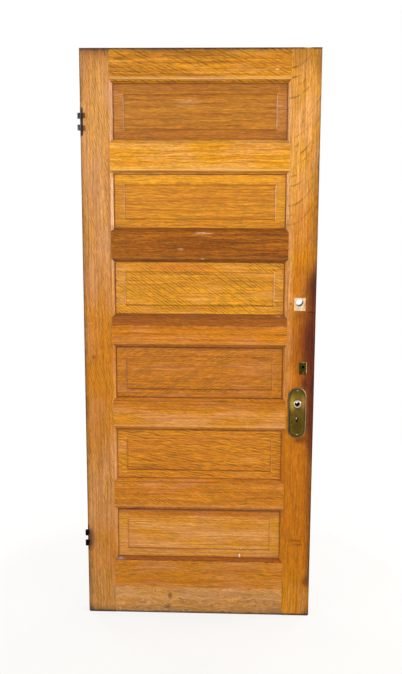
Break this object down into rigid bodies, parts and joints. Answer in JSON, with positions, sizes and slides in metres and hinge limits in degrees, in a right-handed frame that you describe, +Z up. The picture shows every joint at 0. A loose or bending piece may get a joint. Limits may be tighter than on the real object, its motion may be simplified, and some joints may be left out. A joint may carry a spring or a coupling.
{
  "type": "panelled interior door leaf",
  "caption": "Stile-and-rail oak door leaf with raised horizontal panels, half butt hinges, a mortise lock behind brass escutcheons and a rack thumb bolt; hangs on hinge pins.",
  "frame": {"origin": "middle of the leaf's bottom edge, at half its thickness", "axes": "+X from the hinge edge to the lock edge, +Y from the knuckle side to the back, +Z up"},
  "size_m": [0.8585, 0.0634, 2.11],
  "materials": {
    "oak": "amber shellac, worn",
    "dark_steel": "dark, tarnished",
    "aged_brass": "tarnished brass",
    "lock_iron": "plain cast iron",
    "spring_steel": "bright wire"
  },
  "bodies": {
    "leaf": {"back_escutcheon": "aged_brass", "bottom_rail_lower_board": "oak", "bottom_rail_upper_board": "oak", "cross_rail_1": "oak", "cross_rail_2": "oak", "cross_rail_3": "oak", "cross_rail_4": "oak", "cross_rail_5": "oak", "dead_bolt_spring": "spring_steel", "escutcheon_screws": "aged_brass", "front_escutcheon": "aged_brass", "hinge_stile": "oak", "lock_cap": "lock_iron", "lock_cap_screw": "lock_iron", "lock_case": "lock_iron", "lock_front": "aged_brass", "lock_front_screws": "aged_brass", "lock_stile": "oak", "lower_hinge_leaf": "dark_steel", "lower_hinge_screws": "dark_steel", "panel_1": "oak", "panel_2": "oak", "panel_3": "oak", "panel_4": "oak", "panel_5": "oak", "panel_6": "oak", "thumb_bolt_cap": "lock_iron", "thumb_bolt_case": "lock_iron", "thumb_bolt_front": "aged_brass", "thumb_bolt_front_screws": "aged_brass", "thumb_plate_screws": "aged_brass", "thumb_turn_plate": "aged_brass", "top_rail": "oak", "upper_hinge_leaf": "dark_steel", "upper_hinge_screws": "dark_steel"},
    "knob_hub": {"knob_hub": "lock_iron"},
    "latch_bolt": {"latch_bolt": "aged_brass"},
    "dead_bolt": {"dead_bolt": "aged_brass"},
    "thumb_bolt": {"thumb_bolt": "aged_brass"},
    "thumb_pinion": {"thumb_pinion": "lock_iron"}
  },
  "joints": [
    {"name": "latch_slide", "type": "slide", "parent": "leaf", "child": "latch_bolt", "axis": [1, 0, 0], "range_m": [0, 0.0113]},
    {"name": "knob_turn", "type": "hinge", "parent": "leaf", "child": "knob_hub", "pos_m": [0.365, 0, 0.84007], "axis": [0, -1, 0], "range_deg": [-38.2, 0]},
    {"name": "dead_bolt_throw", "type": "slide", "parent": "leaf", "child": "dead_bolt", "axis": [1, 0, 0], "range_m": [0, 0.0127]},
    {"name": "thumb_bolt_slide", "type": "slide", "parent": "leaf", "child": "thumb_bolt", "axis": [1, 0, 0], "range_m": [0, 0.0127]},
    {"name": "thumb_pinion_turn", "type": "hinge", "parent": "leaf", "child": "thumb_pinion", "pos_m": [0.383, 0, 0.97957], "axis": [0, -1, 0], "range_deg": [0, 124]}
  ],
  "couplings": [
    {"joint": "knob_turn", "follows": "latch_slide", "rad_per_m": -58.824},
    {"joint": "thumb_pinion_turn", "follows": "thumb_bolt_slide", "rad_per_m": 166.67}
  ]
}
